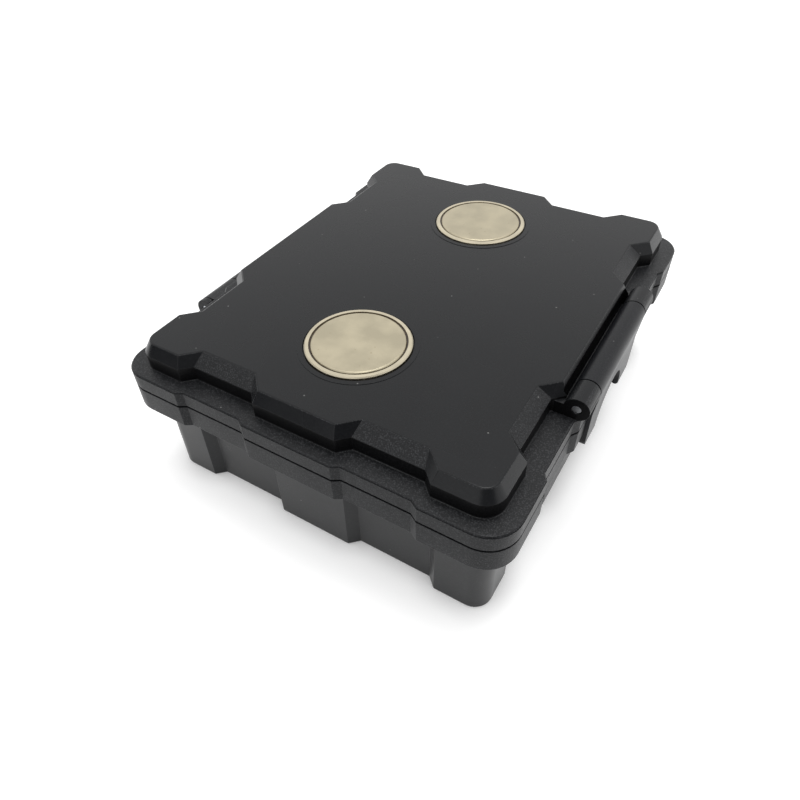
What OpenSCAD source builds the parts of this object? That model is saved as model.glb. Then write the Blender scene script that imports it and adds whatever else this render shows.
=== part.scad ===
// Two-part moulded storage box that clings to steel by two pot magnets set in its lid.
// Millimetres. +Z up, +X towards the latch, Y along the box.
// The origin is the centre of the flat underside that the box rests on.

/* [Lower case] */
// Width of the lower case over its outer faces, from the hinge side to the latch side
case_width = 92; // [86:1:104]
// Length of the lower case over its outer faces
case_length = 111.6; // [106:0.2:124]
// Height of the lower case from its underside to the underside of its rim
case_height = 24.5; // [20:0.1:40]
// Wall left at the bottom of each recess in the sides
wall = 2; // [1.4:0.1:3]
// Thickness of the case's floor
floor_thickness = 2.4; // [1.6:0.1:4]
// Depth of the recesses in the case's sides
case_notch_depth = 2.25; // [1.2:0.05:3]
// Radius of the case's upright corners
case_corner_radius = 4.5; // [3.5:0.5:7]
// Radius of the cavity's upright corners
cavity_corner_radius = 3; // [2:0.5:6]
// Rounding of the case's bottom edge
foot_round = 0.5; // [0.3:0.1:2]

/* [Recess pattern] */
// Distance from the middle to the step of each corner block, along the short sides
corner_step_x = 31.5; // [28:0.5:34]
// Distance from the middle to the step of the centre block, along the short sides
centre_step_x = 12; // [9:0.5:15]
// Distance from the middle to the step of each corner block, along the long sides
corner_step_y = 42; // [39:0.5:45]
// Distance from the middle to the step of the centre block, along the long sides
centre_step_y = 22.9; // [22.5:0.1:26]

/* [Rims] */
// How far both rims stand out past the case on the long sides
rim_overhang_x = 4.5; // [4:0.1:6]
// How far both rims stand out past the case on the short sides
rim_overhang_y = 5.2; // [4:0.1:7]
// Height of the lower case's rim
base_rim_height = 6.2; // [5.5:0.05:9]
// Height of the lid's rim
lid_rim_height = 4.2; // [4:0.05:6]
// Gap between the two rims
seam_gap = 0.5; // [0.2:0.05:0.6]
// Depth of the recesses in the rims
rim_notch_depth = 1.1; // [0.6:0.1:1.5]
// Length of each step from a rim recess to a block
rim_step_run = 1.75; // [1:0.05:3]
// Radius of the rims' upright corners
rim_corner_radius = 7.5; // [5:0.5:10]
// Bevel along the lower edge of the case's rim
rim_edge_bevel = 0.3; // [0.1:0.05:0.6]
// Height of the narrow band along the upper edge of the lid's rim
edge_band = 0.45; // [0.3:0.05:0.6]
// How far that band lies back from the rim's face
band_set_back = 0.15; // [0.05:0.05:0.25]

/* [Raised top] */
// Width of the flat top of the raised part
top_width = 89.1; // [84:0.1:92]
// Length of the flat top of the raised part
top_length = 111.1; // [104:0.1:114]
// Height of the upright side of the raised part above the lid's rim
top_wall_height = 3.7; // [3.2:0.1:6]
// Height of the sloped band around the top
slope_height = 2.9; // [2:0.1:4]
// How far the sloped band stands out at its foot
slope_run = 1.8; // [1:0.1:2.4]
// Depth of the recesses at the top's edge
top_notch_depth = 4.05; // [2.6:0.05:5]
// Depth of the recesses in the upright side
side_notch_depth = 2.6; // [1.5:0.1:3.5]
// Radius of the top's upright corners
top_corner_radius = 3.2; // [2.5:0.1:6]
// Thickness of the lid's top plate
lid_thickness = 2.4; // [1.8:0.1:3.2]
// Inset of the lid's cavity from the case's cavity
lid_cavity_inset = 1; // [0.5:0.1:2]

/* [Seal] */
// Width of the silicone seal
seal_width = 2; // [1.4:0.1:2.4]
// Height of the silicone seal
seal_height = 1.9; // [1.2:0.1:2.4]
// How far the seal's top stays below the edge of its groove
seal_sink = 0.3; // [0.1:0.05:0.6]
// Distance from the cavity to the seal's groove
seal_inset = 1.5; // [1:0.1:2]
// Width of the lid's rib that bears on the seal
seal_rib_width = 1.2; // [0.8:0.1:1.4]
// Clearance on each side of the seal in its groove
seal_side_clearance = 0.1; // [0.05:0.05:0.2]
// Gap between the seal and the rib above it
seal_rib_gap = 0.02; // [0.01:0.01:0.05]

/* [Hinge] */
// Outer radius of the hinge's knuckles
hinge_radius = 3; // [2.6:0.1:3.2]
// How far the hinge's axis stands outside the rims
hinge_set_out = 2.4; // [2:0.1:2.8]
// Length over the hinge's knuckles
hinge_length = 58; // [50:1:70]
// Length of each end knuckle, on the lower case
end_knuckle = 1.8; // [1.2:0.1:6]
// Length of each lid knuckle
lid_knuckle = 10.6; // [6:0.1:14]
// Gap between neighbouring knuckles
knuckle_gap = 0.15; // [0.1:0.05:0.4]
// Room around a knuckle where it turns inside the other rim
knuckle_room = 0.3; // [0.2:0.05:0.5]
// Radius of the hinge pin
hinge_pin_radius = 1.2; // [0.9:0.05:1.4]
// How far the hinge pin's ends stay inside the end knuckles
pin_sink = 0.2; // [0.1:0.1:0.6]

/* [Latch] */
// How far the latch's axis stays inside the rims' outer face
latch_axis_inset = 1.35; // [1:0.05:1.6]
// Height of the latch's axis above the lid's rim
latch_axis_height = 2.55; // [2.4:0.05:2.8]
// Outer radius of the latch's barrel and of the lid's ears
barrel_radius = 2.9; // [2.6:0.05:3]
// Radius of the latch pin
latch_pin_radius = 1; // [0.8:0.05:1.3]
// Length of the latch
latch_length = 32.8; // [29:0.1:36]
// Length of each ear beside the latch
ear_length = 7; // [5:0.5:9]
// Gap between the latch and each ear
ear_gap = 0.3; // [0.1:0.05:0.4]
// Thickness of the web that joins each ear to the raised part
ear_web = 2; // [1.4:0.1:2.6]
// Depth of the hollow in the raised part behind the latch
latch_hollow = 1.15; // [0.6:0.05:1.6]
// Thickness of the latch's plate
plate_thickness = 1.7; // [1.2:0.1:2]
// Gap between the plate and the rims behind it
plate_gap = 0.3; // [0.2:0.05:0.6]
// How far the latch reaches below the lower rim
latch_reach = 4; // [3.5:0.1:6]
// How far the latch's hook reaches under the lower rim
hook_grip = 0.8; // [0.4:0.1:1.2]
// Gap between the hook and the lower rim above it
hook_gap = 0.3; // [0.2:0.05:0.5]
// Radius of the finger arch in the latch's lower edge
arch_radius = 8.8; // [6:0.1:11]
// Room around the latch's barrel in the lid
barrel_room = 0.3; // [0.2:0.05:0.4]

/* [Magnets] */
// Outer diameter of each magnet's steel cup
magnet_diameter = 25; // [20:0.5:30]
// Height of each steel cup
magnet_height = 6.6; // [6.2:0.1:7]
// Wall of the steel cup
cup_wall = 1.05; // [0.8:0.05:2]
// Thickness of the steel cup's bottom
cup_bottom = 2.2; // [1.5:0.1:3]
// Width of the resin ring between the cup and the magnet disc
resin_width = 0.4; // [0.3:0.05:0.8]
// How far the resin ring lies below the cup's edge
resin_sink = 0.3; // [0.1:0.1:0.8]
// How far each steel cup stands out of the lid
cup_proud = 0.6; // [0.2:0.05:0.9]
// How far each magnet disc stands out of its cup
disc_proud = 0.1; // [0.05:0.05:0.6]
// Rounding of each magnet disc's edge
disc_round = 0.5; // [0.2:0.05:0.7]
// Width of the lid's raised ring around each magnet
pad_width = 1.6; // [1:0.1:2.4]
// Height of that raised ring
pad_height = 0.12; // [0.05:0.01:0.3]
// Width of the groove around each magnet
mouth_width = 0.35; // [0.2:0.05:0.5]
// Depth of the groove around each magnet
mouth_depth = 0.6; // [0.3:0.1:1]
// Distance between the two magnets' centres
magnet_spacing = 63.5; // [56:0.5:70]
// Clearance around a magnet in its pocket
magnet_clearance = 0.1; // [0.05:0.05:0.3]
// Wall and floor of each magnet pocket
pocket_wall = 1.8; // [1.2:0.1:2.4]
// Radius of the screw that holds each magnet
screw_radius = 2; // [1.5:0.25:2.5]
// Radius of the screw's head
screw_head_radius = 3.8; // [3.2:0.1:4.5]
// Height of the screw's head
screw_head_height = 2.2; // [1.6:0.1:2.6]
// Thickness of the sealing washer under the head
washer_thickness = 1; // [0.6:0.1:1.2]

/* [Hidden] */
$fn = 48;

// Running clearances, on the radius
pin_fit = 0.03;
turn_fit = 0.06;
ring_fit = 0.02;
screw_fit = 0.05;
// Length added to a cut so that it runs clear of a face
over = 1;
// A slope of 45 degrees moves its ends by this share of an inset
mitre = tan(22.5);
// Straight pieces in each rounded upright corner
corner_pieces = 10;
// Straight pieces in the rounded edge of a magnet disc
round_pieces = 4;
// Straight pieces in the large circles: the magnets, their pockets and the finger arch
fine_circle = 96;
// Least radius that an inset corner keeps
least_corner = 0.3;
// The foot's rounding has a second corner at this share of it
foot_share = 0.3;
// Where the triangles of a flat cap meet, either side of the middle
cap_hub = 10;

// Levels
rim_bottom = case_height;
base_top = rim_bottom + base_rim_height;
lid_bottom = base_top + seam_gap;
lid_rim_top = lid_bottom + lid_rim_height;
slope_foot = lid_rim_top + top_wall_height;
lid_top = slope_foot + slope_height;
ceiling = lid_top - lid_thickness;
seam_level = (base_top + lid_bottom) / 2;

// Half sizes
case_x = case_width / 2;
case_y = case_length / 2;
rim_x = case_x + rim_overhang_x;
rim_y = case_y + rim_overhang_y;
cavity_x = case_x - case_notch_depth - wall;
cavity_y = case_y - case_notch_depth - wall;
lid_cavity_x = cavity_x - lid_cavity_inset;
lid_cavity_y = cavity_y - lid_cavity_inset;
groove_x = cavity_x + seal_inset;
groove_y = cavity_y + seal_inset;
groove_width = seal_width + 2 * seal_side_clearance;
groove_corner = cavity_corner_radius + seal_inset;
recess_x = rim_x - rim_notch_depth;

// Blocks on the rims are longer, and on the case shorter, than the step marks say
rim_block_growth = 0.6;
case_block_growth = -0.9;

// An outline: half width, half length, recess depth, step run, block growth, corner radius
case_outline = [case_x, case_y, case_notch_depth, case_notch_depth,
    case_block_growth, case_corner_radius];
rim_outline = [rim_x, rim_y, rim_notch_depth, rim_step_run, rim_block_growth, rim_corner_radius];
side_outline = [top_width / 2 + slope_run, top_length / 2 + slope_run, side_notch_depth,
    side_notch_depth, 0, top_corner_radius + slope_run];
top_outline = [top_width / 2, top_length / 2, top_notch_depth, top_notch_depth, 0,
    top_corner_radius];

// Hinge places
hinge_x = -(rim_x + hinge_set_out);
hinge_end = hinge_length / 2;
lid_knuckle_end = hinge_end - end_knuckle - knuckle_gap;
lid_knuckle_start = lid_knuckle_end - lid_knuckle;
mid_knuckle_end = lid_knuckle_start - knuckle_gap;
// The webs that join the knuckles to the rims reach this far inside the rims' recesses
web_root = 1;
web_x = web_root - recess_x;
base_web_foot = rim_bottom + rim_edge_bevel;
lid_web_top = seam_level + hinge_radius;

// Latch places
latch_x = rim_x - latch_axis_inset;
latch_z = lid_rim_top + latch_axis_height;
ear_start = latch_length / 2 + ear_gap;
ear_end = ear_start + ear_length;
plate_inner = recess_x + plate_gap;
plate_outer = plate_inner + plate_thickness;
latch_bottom = rim_bottom - latch_reach;
hook_tip = recess_x - hook_grip;
hook_top = rim_bottom - hook_gap;
// Height of the hook's upright tip
hook_height = 1.1;
// How far the arch's centre lies above the latch's lower edge
arch_rise = 0.6;
arch_centre = latch_bottom + arch_rise;
// Rounding of the latch's outer lower corners
leg_round = 2;
raised_x = top_width / 2 + slope_run;
// An ear's web leaves the raised part this far below the slope, and meets the ear at this angle
// from its top
web_drop = 0.6;
web_foot_z = slope_foot - web_drop;
web_angle = 30;

// Magnet places
cup_radius = magnet_diameter / 2;
disc_radius = cup_radius - cup_wall - resin_width;
cup_face = lid_top + cup_proud;
magnet_face = cup_face + disc_proud;
pocket_floor = magnet_face - magnet_height;
disc_bottom = pocket_floor + cup_bottom;
pocket_bottom = pocket_floor - pocket_wall;
washer_bottom = pocket_bottom - washer_thickness;
head_bottom = washer_bottom - screw_head_height;
// How far each screw reaches into its steel cup
screw_bite = 2;
// Hexagon socket in each screw's head
socket_depth = 1.3;
socket_radius = 1.6;
// Bevel on the edges of each steel cup
face_bevel = 0.25;
front = -magnet_spacing / 2;
rear = magnet_spacing / 2;

function arc(cx, cy, r, n) =
    [for (i = [0:n]) [cx + r * cos(90 * i / n), cy + r * sin(90 * i / n)]];

// One quarter of a blocky outline, from the +X side round to the +Y side
function quarter(o, inset) =
    let (hx = o[0] - inset, hy = o[1] - inset, depth = o[2], run = o[3],
        shift = run / 2 - o[4] + mitre * inset, r = max(o[5] - inset, least_corner))
    concat(
        [[hx, centre_step_y - shift],
            [hx - depth, centre_step_y - shift + run],
            [hx - depth, corner_step_y + shift - run],
            [hx, corner_step_y + shift]],
        arc(hx - r, hy - r, r, corner_pieces),
        [[corner_step_x + shift, hy],
            [corner_step_x + shift - run, hy - depth],
            [centre_step_x - shift + run, hy - depth],
            [centre_step_x - shift, hy]]);

// The whole outline, made of the quarter and its mirror images
function blocky(o, inset = 0) =
    let (q = quarter(o, inset), n = len(q) - 1)
    concat(q,
        [for (i = [n:-1:0]) [-q[i][0], q[i][1]]],
        [for (p = q) [-p[0], -p[1]]],
        [for (i = [n:-1:0]) [q[i][0], -q[i][1]]]);

function rounded(hx, hy, r) =
    let (q = arc(hx - r, hy - r, r, corner_pieces))
    concat(q,
        [for (i = [corner_pieces:-1:0]) [-q[i][0], q[i][1]]],
        [for (p = q) [-p[0], -p[1]]],
        [for (i = [corner_pieces:-1:0]) [q[i][0], -q[i][1]]]);

// Triangles of a flat cap over outline points a to a + n - 1, with hubs u and d inside it
function cap(a, n, u, d) =
    let (h = n / 2)
    concat(
        [for (i = [0:h - 2]) [u, a + i, a + i + 1]],
        [for (i = [h:n - 2]) [d, a + i, a + i + 1]],
        [[u, a + h - 1, a + h], [u, a + h, d], [d, a + n - 1, a], [d, a, u]]);

// A solid through a stack of outlines, each given as [outline, inset, height]
module stack(levels) {
    n = len(blocky(levels[0][0]));
    top = len(levels) - 1;
    first_hub = (top + 1) * n;
    hubs = [for (z = [levels[0][2], levels[top][2]]) for (y = [cap_hub, -cap_hub]) [0, y, z]];
    points = concat([for (l = levels) for (p = blocky(l[0], l[1])) [p[0], p[1], l[2]]], hubs);
    sides = [for (k = [0:top - 1]) for (i = [0:n - 1])
        let (j = (i + 1) % n, a = k * n + i, b = k * n + j, c = b + n, d = a + n)
        each [[a, d, c], [a, c, b]]];
    lower = cap(0, n, first_hub, first_hub + 1);
    upper = [for (t = cap(top * n, n, first_hub + 2, first_hub + 3)) [t[2], t[1], t[0]]];
    polyhedron(points = points, faces = concat(lower, upper, sides));
}

module block(hx, hy, r, z0, z1) {
    translate([0, 0, z0])
        linear_extrude(z1 - z0)
            polygon(rounded(hx, hy, r));
}

// A bar along Y whose section is drawn in X and Z
module bar(section, y0, y1) {
    translate([0, y1, 0])
        rotate([90, 0, 0])
            linear_extrude(y1 - y0)
                polygon(section);
}

// A rod along Y
module rod(x, z, r, y0, y1) {
    translate([x, y1, z])
        rotate([90, 0, 0])
            cylinder(h = y1 - y0, r = r);
}

module both_ends() {
    children();
    mirror([0, 1, 0])
        children();
}

// Room in one rim for the other rim's knuckle
module knuckle_cut(y0, y1) {
    rod(hinge_x, seam_level, hinge_radius + knuckle_room, y0 - knuckle_gap, y1 + knuckle_gap);
}

// Knuckle of the lower case, with the web that carries it
module base_knuckle(y0, y1) {
    rod(hinge_x, seam_level, hinge_radius, y0, y1);
    bar([[hinge_x, seam_level - hinge_radius], [web_x, base_web_foot], [web_x, base_top],
        [hinge_x, base_top]], y0, y1);
}

// Knuckle of the lid, with the web that carries it
module lid_knuckle_bar(y0, y1) {
    rod(hinge_x, seam_level, hinge_radius, y0, y1);
    bar([[hinge_x, lid_bottom], [web_x, lid_bottom], [web_x, lid_web_top], [hinge_x, lid_web_top]],
        y0, y1);
}

module groove_ring(inner_gap, width, z0, z1) {
    difference() {
        block(groove_x + inner_gap + width, groove_y + inner_gap + width,
            groove_corner + inner_gap + width, z0, z1);
        block(groove_x + inner_gap, groove_y + inner_gap,
            groove_corner + inner_gap, z0 - over, z1 + over);
    }
}

module base_shell() {
    seal_floor = base_top - seal_sink - seal_height;
    color("#232426")
    difference() {
        union() {
            difference() {
                union() {
                    stack([[case_outline, foot_round, 0],
                        [case_outline, foot_round * foot_share, foot_round * foot_share],
                        [case_outline, 0, foot_round],
                        [case_outline, 0, rim_bottom + over]]);
                    stack([[rim_outline, rim_edge_bevel, rim_bottom],
                        [rim_outline, 0, rim_bottom + rim_edge_bevel],
                        [rim_outline, 0, base_top]]);
                }
                // Flat seat behind the latch's plate
                translate([recess_x, -ear_start, rim_bottom - over])
                    cube([rim_overhang_x, 2 * ear_start, base_rim_height + 2 * over]);
                both_ends()
                    knuckle_cut(lid_knuckle_start, lid_knuckle_end);
            }
            base_knuckle(-mid_knuckle_end, mid_knuckle_end);
            both_ends()
                base_knuckle(hinge_end - end_knuckle, hinge_end);
        }
        block(cavity_x, cavity_y, cavity_corner_radius, floor_thickness, base_top + over);
        groove_ring(0, groove_width, seal_floor, base_top + over);
        rod(hinge_x, seam_level, hinge_pin_radius + pin_fit, -hinge_end - over, hinge_end + over);
    }
}

module lid_seal() {
    seal_top = base_top - seal_sink;
    color("#4a4c4e")
        groove_ring(seal_side_clearance, seal_width, seal_top - seal_height, seal_top);
}

module hinge_pin() {
    color("#b9bcc0")
        rod(hinge_x, seam_level, hinge_pin_radius, pin_sink - hinge_end, hinge_end - pin_sink);
}

// Ear that carries one end of the latch pin, with the web that joins it to the raised part
module ear() {
    inner = lid_cavity_x + over;
    web = [[inner, lid_rim_top - over], [latch_x, lid_rim_top - over], [latch_x, latch_z],
        [latch_x - barrel_radius * sin(web_angle), latch_z + barrel_radius * cos(web_angle)],
        [raised_x, web_foot_z], [inner, web_foot_z]];
    bar(web, ear_end - ear_web, ear_end);
    rod(latch_x, latch_z, barrel_radius, ear_start, ear_end);
}

module pocket(y) {
    translate([0, y, pocket_bottom])
        cylinder(h = ceiling - pocket_bottom + over, r = cup_radius + magnet_clearance + pocket_wall,
            $fn = fine_circle);
}

module lid_shell() {
    rib_inset = (groove_width - seal_rib_width) / 2;
    rib_bottom = base_top - seal_sink + seal_rib_gap;
    color("#2a2b2d")
    difference() {
        union() {
            difference() {
                union() {
                    stack([[rim_outline, 0, lid_bottom],
                        [rim_outline, 0, lid_rim_top - edge_band],
                        [rim_outline, band_set_back, lid_rim_top - edge_band],
                        [rim_outline, band_set_back, lid_rim_top - edge_band / 2],
                        [rim_outline, band_set_back + edge_band / 2, lid_rim_top]]);
                    stack([[side_outline, 0, lid_bottom + over],
                        [side_outline, 0, slope_foot],
                        [top_outline, 0, lid_top]]);
                    for (y = [front, rear])
                        translate([0, y, ceiling])
                            cylinder(h = lid_thickness + pad_height, r = cup_radius + pad_width,
                                $fn = fine_circle);
                }
                // Flat seat behind the latch's plate
                translate([recess_x, -ear_start, lid_bottom - over])
                    cube([rim_overhang_x, 2 * ear_start, lid_rim_height + 2 * over]);
                // Hollow behind the latch and its ears
                translate([raised_x - latch_hollow, ear_web - ear_end, lid_rim_top])
                    cube([latch_hollow + over, 2 * (ear_end - ear_web), lid_top - lid_rim_top]);
                both_ends()
                    knuckle_cut(hinge_end - end_knuckle, hinge_end);
                knuckle_cut(-mid_knuckle_end, mid_knuckle_end);
                block(lid_cavity_x, lid_cavity_y, cavity_corner_radius, lid_bottom - over, ceiling);
            }
            both_ends() {
                lid_knuckle_bar(lid_knuckle_start, lid_knuckle_end);
                ear();
            }
            groove_ring(rib_inset, seal_rib_width, rib_bottom, lid_bottom + over);
            pocket(front);
            pocket(rear);
        }
        rod(hinge_x, seam_level, hinge_pin_radius + turn_fit, -hinge_end - over, hinge_end + over);
        rod(latch_x, latch_z, latch_pin_radius + pin_fit, -ear_end - over, ear_end + over);
        rod(latch_x, latch_z, barrel_radius + barrel_room, -ear_start, ear_start);
        for (y = [front, rear]) {
            translate([0, y, pocket_floor])
                cylinder(h = magnet_height + over, r = cup_radius + magnet_clearance, $fn = fine_circle);
            translate([0, y, lid_top - mouth_depth])
                cylinder(h = mouth_depth + over, r = cup_radius + mouth_width, $fn = fine_circle);
            translate([0, y, pocket_bottom - over])
                cylinder(h = pocket_wall + 2 * over, r = screw_radius + 2 * screw_fit);
        }
    }
}

module latch_pin() {
    color("#b9bcc0")
        rod(latch_x, latch_z, latch_pin_radius, pin_sink - ear_end, ear_end - pin_sink);
}

module latch() {
    half = latch_length / 2;
    section = [[latch_x, latch_z], [latch_x + barrel_radius, latch_z],
        [plate_outer, lid_bottom], [plate_outer, latch_bottom + plate_thickness / 2],
        [plate_inner, latch_bottom + plate_thickness / 2],
        [plate_inner, hook_top - hook_height - hook_grip],
        [hook_tip, hook_top - hook_height], [hook_tip, hook_top],
        [plate_inner, hook_top], [plate_inner, latch_z - barrel_radius]];
    color("#1d1e20")
    difference() {
        union() {
            bar(section, -half, half);
            rod(latch_x, latch_z, barrel_radius, -half, half);
            rod(plate_inner + plate_thickness / 2, latch_bottom + plate_thickness / 2,
                plate_thickness / 2, -half, half);
        }
        rod(latch_x, latch_z, latch_pin_radius + turn_fit, -half - over, half + over);
        // Finger arch
        translate([hook_tip - over, 0, arch_centre])
            rotate([0, 90, 0])
                cylinder(h = plate_outer - hook_tip + 2 * over, r = arch_radius, $fn = fine_circle);
        translate([hook_tip - over, -arch_radius, latch_bottom - over])
            cube([plate_outer - hook_tip + 2 * over, 2 * arch_radius, arch_centre - latch_bottom + over]);
        both_ends()
            leg_corner(half);
    }
}

// What is cut away to round the outer lower corner of a leg
module leg_corner(half) {
    difference() {
        translate([hook_tip - over, half - leg_round, latch_bottom - over])
            cube([plate_outer - hook_tip + 2 * over, leg_round + over, leg_round + over]);
        translate([hook_tip - 2 * over, half - leg_round, latch_bottom + leg_round])
            rotate([0, 90, 0])
                cylinder(h = plate_outer - hook_tip + 4 * over, r = leg_round);
    }
}

module magnet_cup(y) {
    color("#c9c4b4")
    translate([0, y, 0])
        difference() {
            rotate_extrude($fn = fine_circle)
                polygon([[0, pocket_floor], [cup_radius - face_bevel, pocket_floor],
                    [cup_radius, pocket_floor + face_bevel], [cup_radius, cup_face - face_bevel],
                    [cup_radius - face_bevel, cup_face], [cup_radius - cup_wall, cup_face],
                    [cup_radius - cup_wall, disc_bottom], [0, disc_bottom]]);
            translate([0, 0, pocket_floor - over])
                cylinder(h = cup_bottom + 2 * over, r = screw_radius + screw_fit);
        }
}

module magnet_disc(y) {
    color("#c8c1a8")
    translate([0, y, 0])
        rotate_extrude($fn = fine_circle)
            polygon(concat([[0, disc_bottom], [disc_radius, disc_bottom]],
                arc(disc_radius - disc_round, magnet_face - disc_round, disc_round, round_pieces),
                [[0, magnet_face]]));
}

module resin_ring(y) {
    color("#4b3a22")
    translate([0, y, disc_bottom])
        difference() {
            cylinder(h = cup_face - resin_sink - disc_bottom, r = cup_radius - cup_wall - ring_fit,
                $fn = fine_circle);
            translate([0, 0, -over])
                cylinder(h = magnet_height + 2 * over, r = disc_radius + ring_fit, $fn = fine_circle);
        }
}

module magnet_screws() {
    color("#a9acb0")
    for (y = [front, rear])
        translate([0, y, 0])
            difference() {
                union() {
                    translate([0, 0, washer_bottom])
                        cylinder(h = pocket_floor + screw_bite - washer_bottom, r = screw_radius);
                    translate([0, 0, head_bottom])
                        cylinder(h = screw_head_height, r = screw_head_radius);
                }
                translate([0, 0, head_bottom - over])
                    cylinder(h = socket_depth + over, r = socket_radius, $fn = 6);
            }
}

module sealing_washers() {
    color("#3a3b3d")
    for (y = [front, rear])
        translate([0, y, washer_bottom])
            difference() {
                cylinder(h = washer_thickness, r = screw_head_radius);
                translate([0, 0, -over])
                    cylinder(h = washer_thickness + 2 * over, r = screw_radius + screw_fit);
            }
}

base_shell();
lid_seal();
hinge_pin();
lid_shell();
latch_pin();
latch();
magnet_cup(front);  // magnet_cup_front
magnet_cup(rear);  // magnet_cup_rear
magnet_disc(front);  // magnet_disc_front
magnet_disc(rear);  // magnet_disc_rear
resin_ring(front);  // resin_ring_front
resin_ring(rear);  // resin_ring_rear
magnet_screws();
sealing_washers();
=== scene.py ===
import bpy
import bmesh
import math
from mathutils import Matrix, Vector


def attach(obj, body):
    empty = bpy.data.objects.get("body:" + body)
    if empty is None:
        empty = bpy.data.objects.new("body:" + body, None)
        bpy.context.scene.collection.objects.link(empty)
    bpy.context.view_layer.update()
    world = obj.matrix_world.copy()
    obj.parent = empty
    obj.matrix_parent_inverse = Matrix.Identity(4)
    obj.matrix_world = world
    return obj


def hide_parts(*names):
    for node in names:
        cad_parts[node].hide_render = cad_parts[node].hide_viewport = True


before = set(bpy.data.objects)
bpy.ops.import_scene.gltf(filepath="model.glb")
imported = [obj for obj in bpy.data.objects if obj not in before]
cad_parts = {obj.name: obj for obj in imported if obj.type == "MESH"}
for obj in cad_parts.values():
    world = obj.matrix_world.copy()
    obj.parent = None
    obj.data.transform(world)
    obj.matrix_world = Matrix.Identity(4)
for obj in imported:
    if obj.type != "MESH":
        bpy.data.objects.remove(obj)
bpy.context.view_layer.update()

# The photograph's viewpoint: above the corner nearest the latch, looking down at about 44 degrees.
# The box's own sizes are in millimetres and are multiplied by MM, and the studio's are in metres.
MM = 0.001
eye = Vector((68.39, -125.72, 134.58)) * MM
turn, tilt, roll = (math.radians(a) for a in (33.898, 43.576, -2.733))
camera = bpy.data.objects.new("camera", bpy.data.cameras.new("camera"))
bpy.context.scene.collection.objects.link(camera)
camera.matrix_world = (Matrix.Translation(eye) @ Matrix.Rotation(turn, 4, "Z")
                       @ Matrix.Rotation(math.pi / 2 - tilt, 4, "X")
                       @ Matrix.Rotation(roll, 4, "Z"))
camera.data.sensor_width = 36
camera.data.lens = 29.154
camera.data.shift_x = 0.02468
camera.data.shift_y = -0.00078
camera.data.clip_start = 0.005
camera.data.clip_end = 30
bpy.context.scene.camera = camera


# The table: a sheet of smooth white card, matt, which bounces light up the box's sides. Where it
# is seen, straight or in a reflection, it is lifted to pure white. Within a few millimetres of the
# box an ambient occlusion fades that lift, which paints a contact shadow over the real soft one.
def rgb(hexcode):
    """A linear colour from an sRGB hex value."""
    parts = [int(hexcode[i:i + 2], 16) / 255 for i in (1, 3, 5)]
    return [c / 12.92 if c < 0.04045 else ((c + 0.055) / 1.055) ** 2.4 for c in parts] + [1]


def add(tree, kind, links=None, **settings):
    """Add a node, set its properties or input values, and link its inputs."""
    new = tree.nodes.new(kind)
    for name, value in settings.items():
        if hasattr(new, name):
            setattr(new, name, value)
        else:
            new.inputs[name.replace("_", " ")].default_value = value
    for socket, source in (links or {}).items():
        tree.links.new(source, new.inputs[socket])
    return new


def finish_named(name):
    """An empty node material, and its tree."""
    material = bpy.data.materials.new(name)
    material.use_nodes = True
    material.node_tree.nodes.clear()
    return material, material.node_tree


def object_from(shape, name):
    """Turn a bmesh into an object in the scene."""
    made = bpy.data.objects.new(name, bpy.data.meshes.new(name))
    shape.to_mesh(made.data)
    shape.free()
    bpy.context.scene.collection.objects.link(made)
    return made


def seen_ray(tree):
    """1 on what the camera sees straight, in a reflection or through glass, and 0 on light."""
    sight = add(tree, "ShaderNodeLightPath")
    mirrored = add(tree, "ShaderNodeMath", {0: sight.outputs["Is Camera Ray"],
                                            1: sight.outputs["Is Glossy Ray"]},
                   operation="MAXIMUM")
    return add(tree, "ShaderNodeMath", {0: mirrored.outputs[0],
                                        1: sight.outputs["Is Transmission Ray"]},
               operation="MAXIMUM").outputs[0]


CARD_SIDE = 8
CARD_WHITE = rgb("#EDEDED")
CARD_LIFT = 0.43
CONTACT_SHADOW = 5
sheet = bmesh.new()
bmesh.ops.create_grid(sheet, x_segments=1, y_segments=1, size=CARD_SIDE / 2)
card = object_from(sheet, "white_card")
material, tree = finish_named("white_card_matt")
lift = add(tree, "ShaderNodeMath", {0: seen_ray(tree)}, operation="MULTIPLY")
lift.inputs[1].default_value = CARD_LIFT
# Painted shadow: the white lift fades where the box is near, drawing a darker band round its foot.
painted_contact_shadow = add(tree, "ShaderNodeAmbientOcclusion", Distance=CONTACT_SHADOW * MM)
lift = add(tree, "ShaderNodeMath", {0: lift.outputs[0], 1: painted_contact_shadow.outputs["AO"]},
           operation="MULTIPLY")
paper = add(tree, "ShaderNodeBsdfDiffuse", Color=CARD_WHITE)
glow = add(tree, "ShaderNodeEmission", {"Strength": lift.outputs[0]})
both = add(tree, "ShaderNodeAddShader", {0: paper.outputs[0], 1: glow.outputs[0]})
add(tree, "ShaderNodeOutputMaterial", {"Surface": both.outputs[0]})
card.data.materials.append(material)

# The light: a plain white room, a little dimmer along the horizon, and a softbox overhead, which
# draws the narrow shadow under the overhanging rims. What is seen of the room is white.
WHITE = rgb("#FFFFFF")
ROOM_BRIGHT = 0.88
HORIZON_SHARE = 0.35
HORIZON_LOW, HORIZON_HIGH = -0.15, 0.3
SOFTBOX_SIDE = 0.4
SOFTBOX_PLACE = Vector((0.05, 0.1, 1))
SOFTBOX_WATTS = 3
world = bpy.data.worlds.new("white_room")
bpy.context.scene.world = world
world.use_nodes = True
tree = world.node_tree
tree.nodes.clear()
ray = add(tree, "ShaderNodeTexCoord").outputs["Generated"]
rise = add(tree, "ShaderNodeSeparateXYZ", {0: ray})
room = add(tree, "ShaderNodeMapRange", {"Value": rise.outputs["Z"]},
           interpolation_type="SMOOTHSTEP", From_Min=HORIZON_LOW, From_Max=HORIZON_HIGH,
           To_Min=ROOM_BRIGHT * HORIZON_SHARE, To_Max=ROOM_BRIGHT)
room_light = add(tree, "ShaderNodeBackground", {"Strength": room.outputs[0]}, Color=WHITE)
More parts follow.
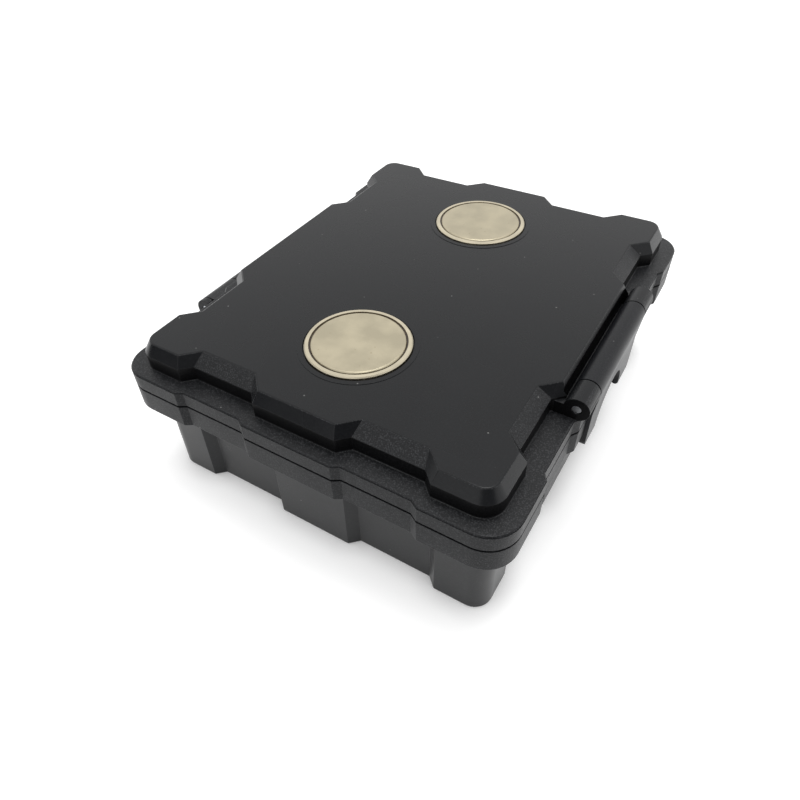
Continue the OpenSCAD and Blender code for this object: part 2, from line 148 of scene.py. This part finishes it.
plain_white = add(tree, "ShaderNodeBackground", Color=WHITE, Strength=1)
mixed = add(tree, "ShaderNodeMixShader", {0: seen_ray(tree), 1: room_light.outputs[0],
                                          2: plain_white.outputs[0]})
add(tree, "ShaderNodeOutputWorld", {"Surface": mixed.outputs[0]})
softbox = bpy.data.objects.new("softbox", bpy.data.lights.new("softbox", "AREA"))
softbox.data.size = SOFTBOX_SIDE
softbox.data.energy = SOFTBOX_WATTS
softbox.matrix_world = (Matrix.Translation(SOFTBOX_PLACE)
                        @ SOFTBOX_PLACE.to_track_quat("Z", "Y").to_matrix().to_4x4())
bpy.context.scene.collection.objects.link(softbox)
bpy.context.scene.view_settings.view_transform = "Standard"

# The flags: two round boards of black cloth out of the picture, one low on the left and one low
# on the camera's right, each given by its direction from the box and its radius. They give no
# shadow and take no light. The slopes that face them mirror them, which keeps those dark.
FLAG_DISTANCE = 0.5
FLAG_SEGMENTS = 48
FLAGS = {"left": ((-0.667, -0.740, 0.087), 0.2), "camera": ((0.687, -0.641, 0.342), 0.27)}
material, tree = finish_named("black_cloth")
cloth = add(tree, "ShaderNodeBsdfDiffuse", Color=rgb("#1C1C1E"))
add(tree, "ShaderNodeOutputMaterial", {"Surface": cloth.outputs[0]})
for side, (direction, radius) in FLAGS.items():
    place = Vector(direction) * FLAG_DISTANCE
    facing = place.to_track_quat("Z", "Y").to_matrix().to_4x4()
    board = bmesh.new()
    bmesh.ops.create_circle(board, cap_ends=True, segments=FLAG_SEGMENTS, radius=radius,
                            matrix=Matrix.Translation(place) @ facing)
    flag = object_from(board, "black_flag_" + side)
    flag.data.materials.append(material)
    flag.visible_camera = False
    flag.visible_diffuse = False
    flag.visible_shadow = False

# Lower case: a tub in black ABS, injection moulded, with an outward rim. The sides come satin
# from a honed tool. The rim comes from a spark-eroded one, with a deeper grain on its flat faces
# than round its edge.
MERGE_WITHIN = 0.002
FLAT_WITHIN = math.radians(0.6)
SHARP_FROM = math.radians(22)
ROUNDING_STEPS = 3


def moulded(name, node, edge_width):
    """A piece from a CAD node, with its sharp edges rounded as a mould leaves them.

    edge_width takes an edge's middle and gives its rounding's width in mm, 0 for a crisp edge."""
    shape = bmesh.new()
    shape.from_mesh(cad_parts[node].data)
    bmesh.ops.remove_doubles(shape, verts=shape.verts, dist=MERGE_WITHIN * MM)
    width_of = {e: edge_width((e.verts[0].co + e.verts[1].co) / 2) for e in shape.edges}
    widths = sorted(set(width_of.values()) - {0}, reverse=True)
    bmesh.ops.dissolve_limit(shape, angle_limit=FLAT_WITHIN, verts=shape.verts,
                             edges=[e for e in shape.edges if width_of[e]])
    for width in widths:
        chosen = [e for e in shape.edges if e.is_manifold and e.calc_face_angle() > SHARP_FROM
                  and edge_width((e.verts[0].co + e.verts[1].co) / 2) == width]
        bmesh.ops.bevel(shape, geom=chosen, offset=width * MM, affect="EDGES",
                        segments=ROUNDING_STEPS, profile=0.5, material=-1, clamp_overlap=False)
    for face in shape.faces:
        face.smooth = True
    for edge in shape.edges:
        edge.smooth = not edge.is_manifold or edge.calc_face_angle() < SHARP_FROM
    piece = object_from(shape, name)
    weighted = piece.modifiers.new("even_shading", "WEIGHTED_NORMAL")
    weighted.weight = 100
    weighted.keep_sharp = True
    return piece


def shade(hexcode, share):
    """A colour made darker or lighter."""
    return [min(c * share, 1) for c in rgb(hexcode)[:3]] + [1]


# ABS: the tone drifts over about 9 mm, and the grain's peaks are painted a little paler, as
# painted glints of a grain too fine for its bumps to shade. Dust shows as grey specks about 0.4 mm
# wide. Their centres are 5 mm apart in depth as well, so that only a few of them meet the surface.
CLOUD = 9
CLOUD_FROM, CLOUD_TO = 0.3, 0.7
ROUGHNESS_DRIFT = 0.03
TONE_DRIFT = 0.08
PEAK_FROM, PEAK_TO = 0.5, 0.68
PAINTED_GLINT = rgb("#6A6B6E")
SPECK_SPACING = 5
SPECK_CORE, SPECK_EDGE = 0.03, 0.042
DUST_GREY = rgb("#8F8F8D")


def black_abs(name, colour, roughness, shine, grain, depth, speckle, dust):
    """Moulded ABS: dull black with a weak reflection, and the grain of its tool, in mm.

    A spark-eroded tool's grain is about 0.3 mm. A honed or polished tool's is too fine to show
    in the picture, so it is drawn 0.5 mm wide and faint."""
    material, tree = finish_named(name)
    where = add(tree, "ShaderNodeTexCoord").outputs["Object"]
    cloud = add(tree, "ShaderNodeTexNoise", {"Vector": where}, Scale=1 / (CLOUD * MM), Detail=3)
    bumps = add(tree, "ShaderNodeTexNoise", {"Vector": where}, Scale=1 / (grain * MM), Detail=2,
                Roughness=0.6)
    rough = add(tree, "ShaderNodeMapRange", {"Value": cloud.outputs["Fac"]},
                From_Min=CLOUD_FROM, From_Max=CLOUD_TO,
                To_Min=roughness - ROUGHNESS_DRIFT, To_Max=roughness + ROUGHNESS_DRIFT)
    tone = add(tree, "ShaderNodeMix", {"Factor": cloud.outputs["Fac"]}, data_type="RGBA")
    tone.inputs[6].default_value = shade(colour, 1 - TONE_DRIFT)
    tone.inputs[7].default_value = shade(colour, 1 + TONE_DRIFT)
    # Painted glints: the grain's peaks are painted paler, by up to speckle, as light on the grain.
    peaks = add(tree, "ShaderNodeMapRange", {"Value": bumps.outputs["Fac"]},
                From_Min=PEAK_FROM, From_Max=PEAK_TO, To_Min=0, To_Max=speckle)
    painted_glints = add(tree, "ShaderNodeMix", {"Factor": peaks.outputs[0], 6: tone.outputs[2]},
                 data_type="RGBA")
    painted_glints.inputs[7].default_value = PAINTED_GLINT
    specks = add(tree, "ShaderNodeTexVoronoi", {"Vector": where}, Scale=1 / (SPECK_SPACING * MM))
    speck = add(tree, "ShaderNodeMapRange", {"Value": specks.outputs["Distance"]},
                From_Min=SPECK_CORE, From_Max=SPECK_EDGE, To_Min=dust, To_Max=0)
    surface = add(tree, "ShaderNodeMix", {"Factor": speck.outputs[0], 6: painted_glints.outputs[2]},
                  data_type="RGBA")
    surface.inputs[7].default_value = DUST_GREY
    dents = add(tree, "ShaderNodeBump", {"Height": bumps.outputs["Fac"]}, Strength=1,
                Distance=depth * MM)
    skin = add(tree, "ShaderNodeBsdfPrincipled", {"Base Color": surface.outputs[2],
                                                  "Roughness": rough.outputs[0],
                                                  "Normal": dents.outputs[0]},
               IOR=1.5, Specular_IOR_Level=shine)
    add(tree, "ShaderNodeOutputMaterial", {"Surface": skin.outputs[0]})
    return material


def outside(x, y, half_sides):
    """Whether a place lies outside a rectangle round the box's middle, all in mm."""
    return max(abs(x) - half_sides[0], abs(y) - half_sides[1]) > 0


def coat(piece, finishes, finish_at):
    """Give a piece its finishes, and each face the one for its place in mm and its slant.

    The slant is 1 on a face that looks up, 0 on an upright one and -1 on one that looks down."""
    for finish in finishes:
        piece.data.materials.append(finish)
    for face in piece.data.polygons:
        face.material_index = finishes.index(finish_at(*face.center / MM, face.normal.z))


side_abs = black_abs("honed_black_abs", "#161719", roughness=0.3, shine=0.33,
                     grain=0.5, depth=0.008, speckle=0.04, dust=0.4)
grained_abs = black_abs("grained_black_abs", "#141517", roughness=0.38, shine=0.29,
                        grain=0.28, depth=0.04, speckle=0.25, dust=0.5)
rim_abs = black_abs("fine_grained_black_abs", "#141517", roughness=0.4, shine=0.15,
                    grain=0.3, depth=0.03, speckle=0.2, dust=0.4)
MOULD_EDGE = 0.09
CASE_RIM_LOW = 24.4
CASE_WALLS = 46.5, 56.3
LEVEL = 0.9


def case_finish(x, y, z, slant):
    """The sides' finish, and past the walls the rim's, on its flat faces and round its edge."""
    if outside(x, y, CASE_WALLS) and z > CASE_RIM_LOW:
        return grained_abs if abs(slant) > LEVEL else rim_abs
    return side_abs


lower_case = moulded("lower_case", "base_shell", lambda middle: MOULD_EDGE)
coat(lower_case, [side_abs, grained_abs, rim_abs], case_finish)
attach(lower_case, "base")
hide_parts("base_shell")

# Lid: the same ABS. The flat top and its blocks are satin, the recessed slopes and the ledge
# under the top are grained, the rim's edge more lightly, and the wall under the slopes is painted
# near black with a weak reflection, as painted shade above the ledge. Its values are in mm,
# heights from the table and half sides from the middle.
LID_TOP = 42
RIM_TOP = 35.4
SAME_LEVEL = 0.05
TOP_EDGE = 0.3
FOOT_FILLET = 0.25
TOP_WALLS = 46.5, 57.5
BAND_LOW, BAND_HIGH = RIM_TOP - 0.6, RIM_TOP - 0.1
BAND_WALLS = 46.5, 58
MAGNET_MIDDLE = 31.75
MAGNET_REACH = 14.6
PAD_HEIGHT = 0.12
PAD_EDGE = 0.08
PAD_LOW = LID_TOP - 2
WALL_HIGH = LID_TOP - 2
SLOPE_LOW = RIM_TOP + 3
RECESS_LOW, RECESS_HIGH = 0.65, 0.85
LEDGE_LOW, LEDGE_HIGH = RIM_TOP - 2, RIM_TOP + 0.4
LEDGE_SLANT = 0.5
UPRIGHT = 0.3
CAVITY_WALLS = 42, 50


def lid_edge(middle):
    """The top's edge and the foot of the raised part are rounder, and the fine steps crisp."""
    x, y, z = middle / MM
    if z > PAD_LOW and math.hypot(x, abs(y) - MAGNET_MIDDLE) < MAGNET_REACH:
        return PAD_EDGE if z > LID_TOP + PAD_HEIGHT / 2 else 0
    if BAND_LOW < z < BAND_HIGH and outside(x, y, BAND_WALLS):
        return 0
    if abs(z - RIM_TOP) < SAME_LEVEL and not outside(x, y, TOP_WALLS):
        return FOOT_FILLET
    return TOP_EDGE if z > LID_TOP - SAME_LEVEL else MOULD_EDGE


def lid_finish(x, y, z, slant):
    """Grained slopes and ledge, by height the rim's finish and the wall's painted shade, and satin
    elsewhere.

    The cavity's two end walls, 50.55 mm from the middle, are finished as the outside is."""
    upright = outside(x, y, CAVITY_WALLS) and abs(slant) < UPRIGHT
    if z > SLOPE_LOW and RECESS_LOW < slant < RECESS_HIGH:
        return grained_abs
    if LEDGE_LOW < z < LEDGE_HIGH and slant > LEDGE_SLANT:
        return grained_abs
    if upright and z < RIM_TOP:
        return rim_abs
    # The wall under the slopes takes the painted shade: a near-black colour standing in for shade.
    if upright and z < WALL_HIGH:
        return painted_shade_abs
    return top_abs


lid = moulded("lid", "lid_shell", lid_edge)
top_abs = black_abs("satin_black_abs", "#161719", roughness=0.27, shine=0.27,
                    grain=0.5, depth=0.004, speckle=0.02, dust=0.5)
# Painted shade: a near-black colour and a weak reflection make the wall look shaded.
painted_shade_abs = black_abs("painted_shade_black_abs", "#0B0B0C", roughness=0.35, shine=0.08,
                     grain=0.3, depth=0.012, speckle=0.03, dust=0.3)
coat(lid, [top_abs, grained_abs, rim_abs, painted_shade_abs], lid_finish)
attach(lid, "lid")
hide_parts("lid_shell")

# Latch: ABS again, moulded on its own and hung on a wire pin between the lid's two ears. A light
# grain breaks up the sheen on its barrel.
latch = moulded("latch_moulding", "latch", lambda middle: MOULD_EDGE)
latch_abs = black_abs("lightly_grained_black_abs", "#16171A", roughness=0.38, shine=0.25,
                      grain=0.3, depth=0.008, speckle=0.08, dust=0.3)
latch.data.materials.append(latch_abs)
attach(latch, "latch")
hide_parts("latch")

# Magnets: each is a turned steel cup and a pressed magnet disc, nickel plated. Plating on a
# tumbled part is satin and slightly warm, with soft clouds 6 mm across and a few brown marks of
# about 0.4 mm. The plating's own grain is too fine to show, so it is drawn 0.25 mm wide.
NICKEL_CLOUD = 6
NICKEL_GRAIN = 0.25
GRAIN_DEPTH = 0.002
DARK_AT, LIGHT_AT = 0.35, 0.65
DARK_SHARE, LIGHT_SHARE = 0.88, 1.05
PLATING_DRIFT = 0.05
MARK_SPACING = 2.6
MARK_CORE, MARK_EDGE = 0.05, 0.09
MARK_STRENGTH = 0.4
MARK_BROWN = rgb("#8A7550")


def nickel(name, colour, roughness):
    """Satin nickel plate with soft clouds and a few brown marks."""
    material, tree = finish_named(name)
    where = add(tree, "ShaderNodeTexCoord").outputs["Object"]
    cloud = add(tree, "ShaderNodeTexNoise", {"Vector": where}, Scale=1 / (NICKEL_CLOUD * MM),
                Detail=4)
    fine = add(tree, "ShaderNodeTexNoise", {"Vector": where}, Scale=1 / (NICKEL_GRAIN * MM),
               Detail=2)
    tone = add(tree, "ShaderNodeValToRGB", {"Fac": cloud.outputs["Fac"]})
    tone.color_ramp.elements[0].position = DARK_AT
    tone.color_ramp.elements[0].color = shade(colour, DARK_SHARE)
    tone.color_ramp.elements[1].position = LIGHT_AT
    tone.color_ramp.elements[1].color = shade(colour, LIGHT_SHARE)
    marks = add(tree, "ShaderNodeTexVoronoi", {"Vector": where}, Scale=1 / (MARK_SPACING * MM))
    mark = add(tree, "ShaderNodeMapRange", {"Value": marks.outputs["Distance"]},
               From_Min=MARK_CORE, From_Max=MARK_EDGE, To_Min=MARK_STRENGTH, To_Max=0)
    plated = add(tree, "ShaderNodeMix", {"Factor": mark.outputs[0], 6: tone.outputs[0]},
                 data_type="RGBA")
    plated.inputs[7].default_value = MARK_BROWN
    rough = add(tree, "ShaderNodeMapRange", {"Value": cloud.outputs["Fac"]},
                From_Min=CLOUD_FROM, From_Max=CLOUD_TO,
                To_Min=roughness - PLATING_DRIFT, To_Max=roughness + PLATING_DRIFT)
    dents = add(tree, "ShaderNodeBump", {"Height": fine.outputs["Fac"]}, Strength=1,
                Distance=GRAIN_DEPTH * MM)
    skin = add(tree, "ShaderNodeBsdfPrincipled", {"Base Color": plated.outputs[2],
                                                  "Roughness": rough.outputs[0],
                                                  "Normal": dents.outputs[0]}, Metallic=1)
    add(tree, "ShaderNodeOutputMaterial", {"Surface": skin.outputs[0]})
    return material


def dress(material, *nodes):
    """Give its material to a part that keeps the shape it was built with."""
    for node in nodes:
        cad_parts[node].data.materials.clear()
        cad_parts[node].data.materials.append(material)


dress(nickel("nickel_plated_cup", "#D0C7B0", roughness=0.4),
      "magnet_cup_front", "magnet_cup_rear")
dress(nickel("nickel_plated_disc", "#BFB69E", roughness=0.38),
      "magnet_disc_front", "magnet_disc_rear")

# Resin rings: dark amber potting resin, poured into the gap round each disc, where it set
# glossy. Its brown varies in patches of about 1.5 mm.
RESIN_PATCH = 1.5
material, tree = finish_named("amber_potting_resin")
where = add(tree, "ShaderNodeTexCoord").outputs["Object"]
cloud = add(tree, "ShaderNodeTexNoise", {"Vector": where}, Scale=1 / (RESIN_PATCH * MM), Detail=2)
tone = add(tree, "ShaderNodeValToRGB", {"Fac": cloud.outputs["Fac"]})
tone.color_ramp.elements[0].color = rgb("#1E1408")
tone.color_ramp.elements[1].color = rgb("#3C2A12")
skin = add(tree, "ShaderNodeBsdfPrincipled", {"Base Color": tone.outputs[0]}, Roughness=0.3,
           IOR=1.54)
add(tree, "ShaderNodeOutputMaterial", {"Surface": skin.outputs[0]})
dress(material, "resin_ring_front", "resin_ring_rear")

# Pins and screws: drawn steel wire for the hinge and the latch, and the machine screws that hold
# the magnets. Bright grey, with fine lines about 0.3 mm apart along the wire.
LINE_SPACING = 0.3
ALONG_WIRE = 0.1
material, tree = finish_named("drawn_steel")
where = add(tree, "ShaderNodeTexCoord").outputs["Object"]
stretch = add(tree, "ShaderNodeMapping", {"Vector": where}, Scale=(1, ALONG_WIRE, 1))
lines = add(tree, "ShaderNodeTexNoise", {"Vector": stretch.outputs[0]},
            Scale=1 / (LINE_SPACING * MM), Detail=2)
tone = add(tree, "ShaderNodeValToRGB", {"Fac": lines.outputs["Fac"]})
tone.color_ramp.elements[0].color = rgb("#9DA0A4")
tone.color_ramp.elements[1].color = rgb("#C9CBCE")
skin = add(tree, "ShaderNodeBsdfPrincipled", {"Base Color": tone.outputs[0]}, Metallic=1,
           Roughness=0.32)
add(tree, "ShaderNodeOutputMaterial", {"Surface": skin.outputs[0]})
dress(material, "hinge_pin", "latch_pin", "magnet_screws")

# Seal and washers: grey silicone, moulded, soft and matt, with hardly any change of tone. The
# seal lies in the lower rim's groove, and a washer under each screw head.
SILICONE_CLOUD = 3
material, tree = finish_named("grey_silicone")
where = add(tree, "ShaderNodeTexCoord").outputs["Object"]
cloud = add(tree, "ShaderNodeTexNoise", {"Vector": where}, Scale=1 / (SILICONE_CLOUD * MM),
            Detail=3)
tone = add(tree, "ShaderNodeValToRGB", {"Fac": cloud.outputs["Fac"]})
tone.color_ramp.elements[0].color = rgb("#505254")
tone.color_ramp.elements[1].color = rgb("#626466")
skin = add(tree, "ShaderNodeBsdfPrincipled", {"Base Color": tone.outputs[0]}, Roughness=0.62,
           IOR=1.41)
add(tree, "ShaderNodeOutputMaterial", {"Surface": skin.outputs[0]})
dress(material, "lid_seal", "sealing_washers")
